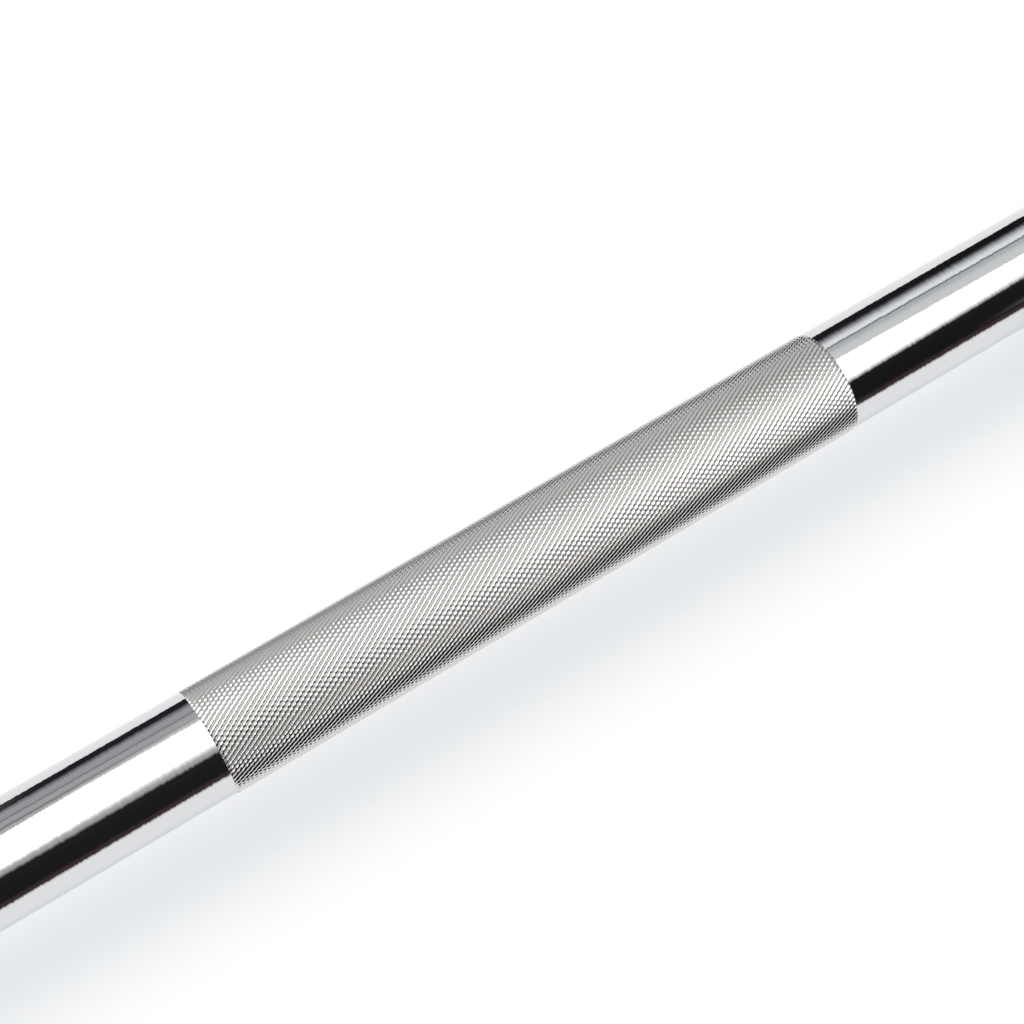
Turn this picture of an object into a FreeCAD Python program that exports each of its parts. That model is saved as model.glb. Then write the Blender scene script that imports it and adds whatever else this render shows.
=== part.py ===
import FreeCAD, Part
import math
import os
from FreeCAD import Vector

# Full-length EZ curl bar: a bent steel shaft that carries a spinning plate sleeve on each end.
# The sleeve axis is X, with the origin halfway between the two ends and +Z up. The bar is drawn as it
# lies on a floor, on both collars and on the two valleys of its W-shaped camber. Lengths are in mm.
# Stations of an end piece are measured outwards from the collar's inner face, along X.

# Shaft: smooth bar, camber corners in the camber's own plane, and grip bands
bar_d = 28.0
collar_gap = 1310.0
centre_corner_x = 40.0
centre_rise = 10.0
valley_corner_x = 160.0
valley_drop = 48.0
outer_corner_x = 285.0
bend_r = 50.0
knurl_rise = 0.2
knurl_lead_in = 0.6
arm_knurl_length = 185.0
arm_knurl_to_collar = 94.5
slope_knurl_margin = 6.0

# Journal: the turned end of the shaft that the sleeve runs on
journal_d = 25.0
shoulder_chamfer = 1.0
journal_chamfer = 1.5
shoulder_past_seal = 3.0
ring_land = 4.0
end_to_cap = 8.0

# Sleeve: the tube that the plates slide on
sleeve_d = 50.0
sleeve_length = 360.0
sleeve_bore_d = 30.0
sleeve_chamfer = 2.0
mouth_chamfer = 0.8

# Collar: the flanged stop for the plates, pushed over the sleeve's inner end onto a short cone
collar_d = 76.0
collar_hub_d = 64.0
collar_length = 30.0
flange_width = 14.0
collar_chamfer = 2.0
collar_neck_r = 3.0
collar_seat_step = 0.5
collar_cone_length = 2.0
collar_recess_depth = 4.0

# Dust seal: rubber lip in the sleeve's inner mouth
seal_d = 40.0
seal_width = 6.0
seal_wall = 3.0
seal_lip_width = 1.4
seal_lip_lean = 2.2

# Plain bearing and thrust washers
bushing_length = 35.0
bushing_chamfer = 0.6
washer_t = 2.0

# Needle bearing: drawn cup, slotted cage and needles
cup_length = 20.0
cup_wall = 1.0
cup_chamfer = 0.7
cup_lip_height = 1.4
cage_wall = 1.3
cage_end_ring = 1.37
needle_count = 18
needle_d = 2.44
needle_chamfer = 0.3

# Retaining rings and end cap
shaft_ring_t = 1.2
shaft_groove_depth = 0.6
shaft_ring_height = 2.6
collar_ring_t = 1.5
collar_groove_depth = 1.0
collar_ring_height = 3.0
cap_ring_t = 1.5
cap_groove_depth = 1.0
cap_ring_height = 3.0
ring_lug_r = 1.9
ring_eye_r = 0.9
ring_gap = 5.0
cap_d = 38.0
cap_t = 5.0
cap_dish_depth = 1.2
cap_rim = 4.0
cap_chamfer = 0.6
cap_ring_lip = 3.4

# Clearances
running_gap = 0.03
washer_gap = 0.05
washer_rim_gap = 0.2
seal_gap = 0.08
end_play = 0.1
cage_play = 0.3
pocket_gap = 0.08
recess_gap = 0.7

# Radii
bar_r = bar_d / 2
journal_r = journal_d / 2
sleeve_r = sleeve_d / 2
bore_r = sleeve_bore_d / 2
collar_r = collar_d / 2
hub_r = collar_hub_d / 2
collar_seat_r = sleeve_r - collar_seat_step
collar_groove_r = collar_seat_r - collar_groove_depth
collar_recess_r = collar_groove_r + 2 * ring_lug_r + recess_gap
seal_r = seal_d / 2
cap_r = cap_d / 2
shaft_groove_r = journal_r - shaft_groove_depth
cap_groove_r = cap_r + cap_groove_depth
needle_r = needle_d / 2
pitch_r = journal_r + running_gap + needle_r
raceway_r = pitch_r + needle_r + running_gap
seat_r = raceway_r + cup_wall

# Stations along the right end, outwards from the collar's inner face
collar_x = collar_gap / 2
arm_knurl_x = collar_x - arm_knurl_to_collar - arm_knurl_length
collar_cone_u = collar_length - collar_cone_length
collar_ring_u = collar_recess_depth - collar_ring_t
collar_groove_u = collar_ring_u - end_play
shoulder_u = seal_width + shoulder_past_seal
inner_washer_u = shoulder_u
bushing_u = inner_washer_u + washer_t + end_play
bushing_end_u = bushing_u + bushing_length
cap_u = sleeve_length - (cap_t + end_play + cap_ring_t + cap_ring_lip)
cap_groove_u = cap_u + cap_t
cap_ring_u = cap_groove_u + end_play / 2
shaft_end_u = cap_u - end_to_cap
shaft_groove_u = shaft_end_u - ring_land - shaft_ring_t - end_play
shaft_ring_u = shaft_groove_u + end_play
outer_washer_u = shaft_ring_u - washer_t
cup_u = outer_washer_u - end_play - cup_length
cage_u = cup_u + cup_wall + cage_play
cage_length = cup_length - 2 * (cup_wall + cage_play)
slot_u = cage_u + cage_end_ring
slot_length = cage_length - 2 * cage_end_ring
needle_u = slot_u + pocket_gap
needle_length = slot_length - 2 * pocket_gap

X_AXIS = Vector(1, 0, 0)
Z_AXIS = Vector(0, 0, 1)
ORIGIN = Vector(0, 0, 0)


def corner_round(before, corner, after, radius):
    """Start, middle, end and centre of the arc that rounds a corner, tangent to both of its runs."""
    back = (before - corner).normalize()
    ahead = (after - corner).normalize()
    half_angle = back.getAngle(ahead) / 2
    bisector = (back + ahead).normalize()
    reach = radius / math.tan(half_angle)
    centre = corner + bisector * (radius / math.sin(half_angle))
    return corner + back * reach, centre - bisector * radius, corner + ahead * reach, centre


def rounded_wire(corners, closed):
    """Straight runs through (point, radius) corners, each rounded by its own arc; radius 0 stays sharp."""
    count = len(corners)
    stops = []
    for index, (point, radius) in enumerate(corners):
        if radius == 0:
            stops.append((point, None, point))
            continue
        before = corners[index - 1][0]
        after = corners[(index + 1) % count][0]
        stops.append(corner_round(before, point, after, radius)[:3])
    edges = []
    for index, (start, middle, end) in enumerate(stops):
        if middle:
            edges.append(Part.Arc(start, middle, end).toShape())
        if index + 1 < count or closed:
            edges.append(Part.LineSegment(end, stops[(index + 1) % count][0]).toShape())
    return Part.Wire(edges)


def turned(profile, start_x=0.0):
    """Solid turned about X from a closed profile of (x, radius) or (x, radius, corner rounding) points."""
    corners = []
    for x, radius, *rounding in profile:
        corners.append((Vector(start_x + x, 0, radius), rounding[0] if rounding else 0))
    face = Part.Face(rounded_wire(corners, closed=True))
    return face.revolve(ORIGIN, X_AXIS, 360)


def tube(start_x, length, inner_r, outer_r, chamfer=0.0):
    """Plain ring about X, with its outer edges chamfered if a chamfer is given."""
    if chamfer == 0:
        return turned([(0, inner_r), (0, outer_r), (length, outer_r), (length, inner_r)], start_x)
    profile = [
        (0, inner_r),
        (0, outer_r - chamfer),
        (chamfer, outer_r),
        (length - chamfer, outer_r),
        (length, outer_r - chamfer),
        (length, inner_r),
    ]
    return turned(profile, start_x)


# Camber: corners in its own plane, then the tilt at which the valleys just touch the floor
def camber_corners(height_axis):
    """Camber corners from left to right, as points on the plane of X and the given height axis."""
    right = [(centre_corner_x, centre_rise), (valley_corner_x, -valley_drop), (outer_corner_x, 0.0)]
    left = [(-x, height) for x, height in reversed(right)]
    return [X_AXIS * x + height_axis * height for x, height in left + right]


def valley_depth():
    """Depth of the bar's centreline at the bottom of a valley bend, below the sleeve axis."""
    before, valley, after = camber_corners(Z_AXIS)[3:6]
    centre = corner_round(before, valley, after, bend_r)[3]
    return bend_r - centre.z


def camber_height_axis():
    """Height axis of the camber at rest; a camber too shallow to reach the floor hangs straight down."""
    floor_drop = collar_r - bar_r
    tilt = math.asin(min(1.0, floor_drop / valley_depth()))
    return Vector(0, math.cos(tilt), math.sin(tilt))


def camber_tube(corners):
    """Bent bar from one arm's grip band to the other's: straight runs and tangent bends of one radius."""
    path_corners = [(X_AXIS * -arm_knurl_x, 0)]
    path_corners += [(corner, bend_r) for corner in corners]
    path_corners.append((X_AXIS * arm_knurl_x, 0))
    path = rounded_wire(path_corners, closed=False)
    section = Part.Face(Part.Wire(Part.Circle(path_corners[0][0], X_AXIS, bar_r).toShape()))
    return path.makePipe(section)


def slope_knurl(run_start, run_end):
    """Grip band on a sloping run of the camber, set in from both bends by a margin."""
    direction = run_end - run_start
    length = direction.Length - 2 * slope_knurl_margin
    band = turned(knurl_profile(0.0, length))
    band.Placement = FreeCAD.Placement(
        run_start + direction.normalize() * slope_knurl_margin,
        FreeCAD.Rotation(X_AXIS, direction),
    )
    return band


def knurl_profile(start, length):
    """Turned profile of a grip band: it stands a little proud of the bar and leads in at both ends."""
    end = start + length
    return [
        (start, 0),
        (start, bar_r),
        (start + knurl_lead_in, bar_r + knurl_rise),
        (end - knurl_lead_in, bar_r + knurl_rise),
        (end, bar_r),
        (end, 0),
    ]


def arm():
    """Right arm from its grip band outwards: the shoulder, the journal and its ring groove."""
    shoulder = collar_x + shoulder_u
    groove = collar_x + shaft_groove_u
    groove_end = groove + shaft_ring_t + end_play
    shaft_end = collar_x + shaft_end_u
    profile = knurl_profile(arm_knurl_x, arm_knurl_length)[:-1]
    profile += [
        (shoulder - shoulder_chamfer, bar_r),
        (shoulder, bar_r - shoulder_chamfer),
        (shoulder, journal_r),
        (groove, journal_r),
        (groove, shaft_groove_r),
        (groove_end, shaft_groove_r),
        (groove_end, journal_r),
        (shaft_end - journal_chamfer, journal_r),
        (shaft_end, journal_r - journal_chamfer),
        (shaft_end, 0),
    ]
    return turned(profile)


def bar_shaft():
    """Whole shaft as one solid, with a grip band on each slope of the camber and on each arm."""
    corners = camber_corners(camber_height_axis())
    path = [X_AXIS * -arm_knurl_x] + corners + [X_AXIS * arm_knurl_x]
    rounds = [corner_round(*path[i - 1 : i + 2], bend_r) for i in range(1, len(path) - 1)]
    right_arm = arm()
    pieces = [right_arm, other_end(right_arm)]
    for index, (bend, next_bend) in enumerate(zip(rounds, rounds[1:])):
        is_centre_run = index == len(rounds) // 2 - 1
        if not is_centre_run:
            pieces.append(slope_knurl(bend[2], next_bend[0]))
    return camber_tube(corners).fuse(pieces).removeSplitter().Solids[0]


def sleeve():
    """Plate sleeve: a tube with a seat and a ring groove for the collar, and stepped seats inside."""
    cap_groove_end_u = cap_groove_u + cap_ring_t + end_play
    return turned(
        [
            (0, seal_r + mouth_chamfer),
            (0, collar_seat_r),
            (collar_groove_u, collar_seat_r),
            (collar_groove_u, collar_groove_r),
            (collar_recess_depth, collar_groove_r),
            (collar_recess_depth, collar_seat_r),
            (collar_cone_u, collar_seat_r),
            (collar_length, sleeve_r),
            (sleeve_length - sleeve_chamfer, sleeve_r),
            (sleeve_length, sleeve_r - sleeve_chamfer),
            (sleeve_length, cap_r + mouth_chamfer),
            (sleeve_length - mouth_chamfer, cap_r),
            (cap_groove_end_u, cap_r),
            (cap_groove_end_u, cap_groove_r),
            (cap_groove_u, cap_groove_r),
            (cap_groove_u, cap_r),
            (cap_u, cap_r),
            (cap_u, seat_r),
            (cup_u, seat_r),
            (cup_u, bore_r),
            (bushing_end_u, bore_r),
            (bushing_end_u, seat_r),
            (seal_width, seat_r),
            (seal_width, seal_r),
            (mouth_chamfer, seal_r),
        ],
        collar_x,
    )


def collar():
    """Collar: a hub that is recessed for its retaining ring, and a flange that the plates stop against."""
    flange_u = collar_length - flange_width
    return turned(
        [
            (0, collar_recess_r),
            (0, hub_r - collar_chamfer),
            (collar_chamfer, hub_r),
            (flange_u, hub_r, collar_neck_r),
            (flange_u, collar_r - collar_chamfer),
            (flange_u + collar_chamfer, collar_r),
            (collar_length - collar_chamfer, collar_r),
            (collar_length, collar_r - collar_chamfer),
            (collar_length, sleeve_r),
            (collar_cone_u, collar_seat_r),
            (collar_recess_depth, collar_seat_r),
            (collar_recess_depth, collar_recess_r),
        ],
        collar_x,
    )


def dust_seal():
    """Rubber ring with a lip that leans out towards the grip and wipes the shaft."""
    lip_r = bar_r + seal_gap
    web_r = seal_r - seal_wall
    lip_root = seal_width - seal_wall
    lip_tip = lip_root - seal_lip_lean
    return turned(
        [
            (mouth_chamfer, web_r),
            (mouth_chamfer, seal_r),
            (seal_width, seal_r),
            (seal_width, web_r),
            (lip_root + seal_lip_width, web_r),
            (lip_tip + seal_lip_width, lip_r),
            (lip_tip, lip_r),
            (lip_root, web_r),
        ],
        collar_x,
    )


def thrust_washer(station):
    """Flat hardened washer that is free on the journal and clear of the sleeve."""
    return tube(collar_x + station, washer_t, journal_r + washer_gap, seat_r - washer_rim_gap)


def bushing():
    """Bronze plain bearing, pressed into the sleeve and free on the journal."""
    return tube(collar_x + bushing_u, bushing_length, journal_r + running_gap, seat_r, bushing_chamfer)


def bearing_cup():
    """Drawn cup of the needle bearing: a thin raceway with both ends turned in over the cage."""
    lip_r = raceway_r - cup_lip_height
    return turned(
        [
            (0, lip_r),
            (0, seat_r - cup_chamfer),
            (cup_chamfer, seat_r),
            (cup_length - cup_chamfer, seat_r),
            (cup_length, seat_r - cup_chamfer),
            (cup_length, lip_r),
            (cup_length - cup_wall, lip_r),
            (cup_length - cup_wall, raceway_r),
            (cup_wall, raceway_r),
            (cup_wall, lip_r),
        ],
        collar_x + cup_u,
    )


def around_bearing(shape):
    """Copies of a shape, one for each needle, spaced evenly about the sleeve axis."""
    copies = []
    for index in range(needle_count):
        copy = shape.copy()
        copy.rotate(ORIGIN, X_AXIS, index * 360 / needle_count)
        copies.append(copy)
    return copies


def bearing_cage():
    """Ring between journal and raceway with one slot through its wall for each needle."""
    ring = tube(collar_x + cage_u, cage_length, pitch_r - cage_wall / 2, pitch_r + cage_wall / 2)
    slot_width = 2 * (needle_r + pocket_gap)
    slot_corner = Vector(collar_x + slot_u, -slot_width / 2, pitch_r - cage_wall)
    slot = Part.makeBox(slot_length, slot_width, 2 * cage_wall, slot_corner)
    return ring.cut(around_bearing(slot))


def bearing_needles():
    """Needles with chamfered ends, lying in the slots of the cage."""
    needle = tube(collar_x + needle_u, needle_length, 0, needle_r, needle_chamfer)
    needle.translate(Z_AXIS * pitch_r)
    return Part.Compound(around_bearing(needle))


def retaining_ring(station, thickness, inner_r, outer_r, lug_centre_r):
    """Open spring ring with a lug and a tool eye on each side of its gap, which points up."""
    start = Vector(collar_x + station, 0, 0)
    lug_side = ring_gap / 2 + ring_lug_r
    lug_height = math.sqrt(lug_centre_r**2 - lug_side**2)
    lug_places = [start + Vector(0, side * lug_side, lug_height) for side in (-1, 1)]
    ring = tube(start.x, thickness, inner_r, outer_r)
    lugs = [Part.makeCylinder(ring_lug_r, thickness, place, X_AXIS) for place in lug_places]
    eyes = [Part.makeCylinder(ring_eye_r, thickness, place, X_AXIS) for place in lug_places]
    gap_corner = start + Vector(0, -ring_gap / 2, 0)
    gap = Part.makeBox(thickness, ring_gap, outer_r + ring_lug_r, gap_corner)
    return ring.fuse(lugs).cut([gap] + eyes).removeSplitter().Solids[0]


def collar_retaining_ring():
    """External ring in the sleeve's groove: it keeps the collar on when plates push against it."""
    outer_r = collar_groove_r + collar_ring_height
    lug_centre_r = collar_groove_r + ring_lug_r
    return retaining_ring(collar_ring_u, collar_ring_t, collar_groove_r, outer_r, lug_centre_r)


def shaft_retaining_ring():
    """External ring in the journal's groove: it keeps the sleeve on the shaft."""
    outer_r = shaft_groove_r + shaft_ring_height
    lug_centre_r = shaft_groove_r + ring_lug_r
    return retaining_ring(shaft_ring_u, shaft_ring_t, shaft_groove_r, outer_r, lug_centre_r)


def cap_retaining_ring():
    """Internal ring in the sleeve's groove: it keeps the end cap in."""
    inner_r = cap_groove_r - cap_ring_height
    return retaining_ring(cap_ring_u, cap_ring_t, inner_r, cap_groove_r, inner_r - ring_eye_r)


def end_cap():
    """Disc that closes the sleeve, with a shallow dish in its outer face."""
    dish_r = cap_r - cap_rim
    return turned(
        [
            (0, 0),
            (0, cap_r - cap_chamfer),
            (cap_chamfer, cap_r),
            (cap_t, cap_r),
            (cap_t, dish_r),
            (cap_t - cap_dish_depth, dish_r - cap_dish_depth),
            (cap_t - cap_dish_depth, 0),
        ],
        collar_x + cap_u,
    )


def other_end(shape):
    """The same piece on the left end of the bar."""
    turned_round = shape.copy()
    turned_round.rotate(ORIGIN, Z_AXIS, 180)
    return turned_round


END_PIECES = {
    "sleeve": sleeve(),
    "collar": collar(),
    "collar_retaining_ring": collar_retaining_ring(),
    "dust_seal": dust_seal(),
    "inner_thrust_washer": thrust_washer(inner_washer_u),
    "bushing": bushing(),
    "bearing_cup": bearing_cup(),
    "bearing_cage": bearing_cage(),
    "bearing_needles": bearing_needles(),
    "outer_thrust_washer": thrust_washer(outer_washer_u),
    "shaft_retaining_ring": shaft_retaining_ring(),
    "end_cap": end_cap(),
    "cap_retaining_ring": cap_retaining_ring(),
}

os.makedirs("parts", exist_ok=True)
bar_shaft().exportStep("parts/bar_shaft.step")
for name, shape in END_PIECES.items():
    shape.exportStep(f"parts/right_{name}.step")
    other_end(shape).exportStep(f"parts/left_{name}.step")
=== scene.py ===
import math

import bmesh
import bpy
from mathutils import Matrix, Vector


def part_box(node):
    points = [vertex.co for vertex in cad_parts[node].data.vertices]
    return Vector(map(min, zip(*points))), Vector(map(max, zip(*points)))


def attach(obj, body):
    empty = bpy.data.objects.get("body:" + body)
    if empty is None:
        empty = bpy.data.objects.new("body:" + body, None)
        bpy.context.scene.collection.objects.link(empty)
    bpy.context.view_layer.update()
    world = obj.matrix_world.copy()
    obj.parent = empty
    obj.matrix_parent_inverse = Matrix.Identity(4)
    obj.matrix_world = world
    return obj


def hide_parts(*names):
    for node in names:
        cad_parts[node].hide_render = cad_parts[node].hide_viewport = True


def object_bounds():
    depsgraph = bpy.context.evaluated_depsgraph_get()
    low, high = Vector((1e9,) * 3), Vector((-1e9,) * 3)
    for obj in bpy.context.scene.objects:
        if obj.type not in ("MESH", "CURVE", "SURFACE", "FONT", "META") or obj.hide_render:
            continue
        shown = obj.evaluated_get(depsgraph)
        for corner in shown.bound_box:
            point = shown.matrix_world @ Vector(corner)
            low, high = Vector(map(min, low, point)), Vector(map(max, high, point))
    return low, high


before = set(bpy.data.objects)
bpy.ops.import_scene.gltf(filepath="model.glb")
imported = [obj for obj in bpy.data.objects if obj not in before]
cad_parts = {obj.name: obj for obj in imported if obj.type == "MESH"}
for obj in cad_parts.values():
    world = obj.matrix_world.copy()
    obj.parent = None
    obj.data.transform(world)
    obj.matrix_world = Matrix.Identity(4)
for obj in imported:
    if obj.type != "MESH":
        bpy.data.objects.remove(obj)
cad_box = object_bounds()

# Full-length EZ curl bar, dressed for the camera. The sleeve axis is X, +Z is up, and lengths are in metres.
MM = 0.001

# Shaft, with the camber's corners as (x, height) on the camber's own tilted plane
BAR_R = 14 * MM
CENTRE_CORNER = (40 * MM, 10 * MM)
VALLEY_CORNER = (160 * MM, -48 * MM)
OUTER_CORNER = (285 * MM, 0.0)
BEND_R = 50 * MM
BEND_STEPS = 28
SLOPE_GRIP_MARGIN = 6 * MM
ARM_GRIP_X = 375.5 * MM
ARM_GRIP_LENGTH = 185 * MM
JOURNAL_R = 12.5 * MM
SHOULDER_CHAMFER = 1 * MM
JOURNAL_CHAMFER = 1.5 * MM
GROOVE_DEPTH = 0.6 * MM
GROOVE_PLAY = 0.1 * MM

# Knurl: flat-topped teeth in a diamond lattice, standing on a neck turned into the bar
TOOTH_PITCH = 2.3125 * MM
TEETH_ROUND = 64
CREST_R = 14.18 * MM
TOOTH_HEIGHT = 0.44 * MM
TOOTH_ROOT_R = CREST_R - TOOTH_HEIGHT
NECK_R = 13.5 * MM
# One roller's grooves take this share of the tooth's height, and the other roller's take the rest
DEEP_GROOVE = 0.78
# The crest's width against a third of the tooth
CREST_SPREAD = 1.2

# Sleeve, collar, seal and cap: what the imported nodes' boxes do not give
SLEEVE_BORE_R = 15 * MM
SLEEVE_CHAMFER = 2 * MM
MOUTH_CHAMFER = 0.8 * MM
COLLAR_SEAT_STEP = 0.5 * MM
COLLAR_CONE_LENGTH = 2 * MM
COLLAR_GROOVE_DEPTH = 1 * MM
COLLAR_HUB_R = 32 * MM
COLLAR_RECESS_R = 28 * MM
COLLAR_CHAMFER = 2 * MM
COLLAR_NECK_R = 3 * MM
FLANGE_WIDTH = 14 * MM
SEAL_WALL = 3 * MM
SEAL_LIP_WIDTH = 1.4 * MM
SEAL_GAP = 0.08 * MM
CAP_DISH_DEPTH = 1.2 * MM
CAP_RIM = 4 * MM
CAP_CHAMFER = 0.6 * MM
CAP_GROOVE_DEPTH = 1 * MM
EDGE_BREAK = 0.3 * MM
RUBBER_EDGE_BREAK = 0.2 * MM

# Meshing
SIDES = 128
NECK_STEPS = 8
EDGE_STEPS = 3
SMOOTH_ANGLE = math.radians(30)
CREST_SMOOTH_ANGLE = math.radians(55)
WELD_GAP = 0.002 * MM
SAME_PLACE = 0.01 * MM
X_AXIS = Vector((1, 0, 0))
ORIGIN = Vector((0, 0, 0))

# Sizes of what shows on the finishes
HAZE_SIZE = 30 * MM
SCUFF_LENGTH = 50 * MM
SCUFF_WIDTH = 1 * MM
GRIND_WIDTH = 0.4 * MM
GRIND_ARC = 8 * MM
STAIN_SIZE = 6 * MM
RUB_SIZE = 5 * MM

# Camera: where the photograph was taken from, found from the knurled band's outline
CAMERA_PLACE = (317.1 * MM, -224.5 * MM, 538.7 * MM)
CAMERA_AZIMUTH = math.radians(-33.05)
CAMERA_ELEVATION = math.radians(62.29)
LENS_MM = 84.375
SENSOR_MM = 36
NEAR_CLIP = 10 * MM

# Floor and light: white paper under a warm, soft key
FLOOR_SIZE = 80
FLOOR_GLOW = "#CED1D4"
FLOOR_PAPER = "#AEAEAE"
FLOOR_BOUNCE = "#E6E6E6"
WHITE = "#FFFFFF"
FILL_LIGHT = 0.45
KEY_LIGHT = 1.55
KEY_COLOUR = "#FFF6EB"
KEY_SPREAD = math.radians(32)
KEY_TILT = math.radians(20)

# Table that mirrors show: the paper ends across the bar, and the room beyond it is dark
TABLE_BACK = 800 * MM
TABLE_FRONT = -165 * MM
TABLE_EDGE_BLUR = 30 * MM
TABLE_EDGE = "#463836"
DARK_ROOM = "#221E1E"
ROOM_DEPTH = 900 * MM

# Softbox that mirrors show, in metres ahead of the grip band and aside of it, as the camera stands.
# Left of its turn the front edge slants to the camera at 45 degrees.
# The corner fade goes by ahead plus aside.
SOFTBOX_HEIGHT = 1.6
SOFTBOX_BACK = 0.70
SOFTBOX_HEM = 0.2
SOFTBOX_HEM_GLOW = 0.5
SOFTBOX_FRONT = -2.6
SOFTBOX_TURN = 0.56
SOFTBOX_LEFT = -0.5
SOFTBOX_RIGHT = 1.95
SOFTBOX_GLOW = 2.4
SOFTBOX_FRONT_FADE = (
    (-1.58, "#161414"), (-1.5, "#303030"), (-1.28, "#767676"), (-1.05, "#848484"), (-0.84, "#B3B3B3"),
    (-0.5, "#FFFFFF"),
)
SOFTBOX_SIDE_FADE = ((1.28, "#FFFFFF"), (1.63, "#B5B5B5"), (1.92, "#3C3C3C"))
SOFTBOX_CORNER_FADE = (
    (-1.6, "#FFFFFF"), (-1.15, "#C8C8C8"), (-0.9, "#848484"), (-0.72, "#7C7C7C"), (-0.5, "#FFFFFF"),
)

# Walls that mirrors show, by the lean of the look in degrees: 0 is straight up, 90 the horizon at the back.
# Each wall has dark seams between its panels and falls off to the horizon.
LEFT_WALL = (
    (-70, "#6E6E70"), (-35, "#9A9A9C"), (-5, "#F4F4F4"), (26, "#BEBEBE"), (29.5, "#B4B4B4"), (31, "#6C6C6C"),
    (33, "#A8A8A8"), (37, "#B6B6B6"), (44.5, "#B2B2B4"), (45.5, "#7A7A7C"), (47, "#7A7A7C"), (48, "#A8A8AA"),
    (60, "#AEAEB0"), (68, "#868688"), (72.5, "#5E5E60"), (76, "#242428"),
)
RIGHT_WALL = (
    (-20, "#202022"), (-5, "#F4F4F4"), (28, "#E4E4E4"), (33.5, "#DCDEDE"), (39.5, "#C4C6C6"),
    (44.5, "#C4C6C6"), (45.3, "#5C5E5E"), (46.7, "#5C5E5E"), (48, "#F4F8F8"), (52.5, "#FFFFFF"),
    (59.5, "#D8DADA"), (67.5, "#828486"), (71, "#4A4A4C"), (75, "#1C1C1E"),
)
# By the look's part to the camera's right: the corner between the walls, their shade, and the side walls
WALL_CORNER = (-0.28, -0.08)
WALL_SHADE = ((-0.9, "#C8C8C8"), (-0.5, "#FFFFFF"), (0.72, "#FFFFFF"), (0.9, "#D0D0D0"))
SIDE_WALL_SHARE = ((-0.68, "#FFFFFF"), (-0.52, "#000000"), (0.865, "#000000"), (0.92, "#FFFFFF"))
SIDE_WALL = "#C8C8C8"


def open_primitive(add, **settings):
    """Adds a primitive by itself, puts its place into its mesh, and opens it for editing."""
    bpy.ops.object.select_all(action="DESELECT")
    add(**settings)
    bpy.ops.object.transform_apply(location=True, rotation=True, scale=True)
    bpy.ops.object.mode_set(mode="EDIT")
    bpy.ops.mesh.select_all(action="SELECT")


def select_where(test):
    """Selects only the vertices of the open piece whose place passes a test, with what lies between them."""
    bpy.ops.mesh.select_all(action="DESELECT")
    mesh = bmesh.from_edit_mesh(bpy.context.edit_object.data)
    for vert in mesh.verts:
        vert.select_set(test(vert.co))
    mesh.select_flush(True)


def weld():
    """Merges the open piece's doubles and turns its faces outwards."""
    bpy.ops.mesh.select_all(action="SELECT")
    bpy.ops.mesh.remove_doubles(threshold=WELD_GAP)
    bpy.ops.mesh.normals_make_consistent(inside=False)


def close_piece(edge_break=0.0):
    """Leaves edit mode, breaks sharp edges by a small round, and smooths what turns gently."""
    bpy.ops.object.mode_set(mode="OBJECT")
    piece = bpy.context.object
    if edge_break:
        bpy.ops.object.modifier_add(type="BEVEL")
        bevel = piece.modifiers[-1]
        bevel.width = edge_break
        bevel.segments = EDGE_STEPS
        bevel.limit_method = "ANGLE"
        bevel.angle_limit = SMOOTH_ANGLE
        bpy.ops.object.modifier_apply(modifier=bevel.name)
    bpy.ops.object.shade_smooth_by_angle(angle=SMOOTH_ANGLE)
    if edge_break:
        bpy.ops.object.modifier_add(type="WEIGHTED_NORMAL")
        weighting = piece.modifiers[-1]
        weighting.keep_sharp = True
        bpy.ops.object.modifier_apply(modifier=weighting.name)
    return piece


def turn(section, closed=True):
    """Opens a piece turned about X: its section of (x, radius) points is drawn with one vertex, then spun."""
    x, radius = section[0]
    open_primitive(bpy.ops.mesh.primitive_plane_add, size=MM, location=(x, 0, radius))
    bpy.ops.mesh.merge(type="CENTER")
    for next_x, next_radius in section[1:] + section[:1] * closed:
        step = (next_x - x, 0, next_radius - radius)
        bpy.ops.mesh.extrude_vertices_move(TRANSFORM_OT_translate={"value": step})
        x, radius = next_x, next_radius
    bpy.ops.mesh.select_all(action="SELECT")
    bpy.ops.mesh.remove_doubles(threshold=WELD_GAP)
    bpy.ops.mesh.spin(steps=SIDES, angle=math.tau, center=ORIGIN, axis=X_AXIS)
    weld()


def copy_of(piece):
    """A copy of a piece with its own mesh, selected alone."""
    bpy.ops.object.select_all(action="DESELECT")
    piece.select_set(True)
    bpy.context.view_layer.objects.active = piece
    bpy.ops.object.duplicate(linked=False)
    return bpy.context.object


def place(piece, start, direction):
    """Moves a piece that lies along X from the origin to a start and a direction, in its mesh."""
    piece.location = start
    piece.rotation_mode = "QUATERNION"
    piece.rotation_quaternion = direction.to_track_quat("X", "Z")
    bpy.ops.object.transform_apply(location=True, rotation=True, scale=True)
    return piece


def other_end(piece):
    """A copy of an end piece, turned half round the middle of the bar."""
    copy = copy_of(piece)
    bpy.ops.transform.rotate(value=math.pi, orient_axis="Z", center_override=ORIGIN)
    bpy.ops.object.transform_apply(location=True, rotation=True, scale=True)
    return copy


def dress(piece, name, body, material):
    """Names a finished piece and gives it its body and its material."""
    piece.name = name
    piece.data.name = name
    piece.data.materials.clear()
    piece.data.materials.append(material)
    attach(piece, body)
    return piece


def linear(hex_colour):
    """Linear RGBA of an sRGB hex colour."""
    channels = [int(hex_colour[i:i + 2], 16) / 255 for i in (1, 3, 5)]
    return [c / 12.92 if c <= 0.04045 else ((c + 0.055) / 1.055) ** 2.4 for c in channels] + [1.0]


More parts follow.
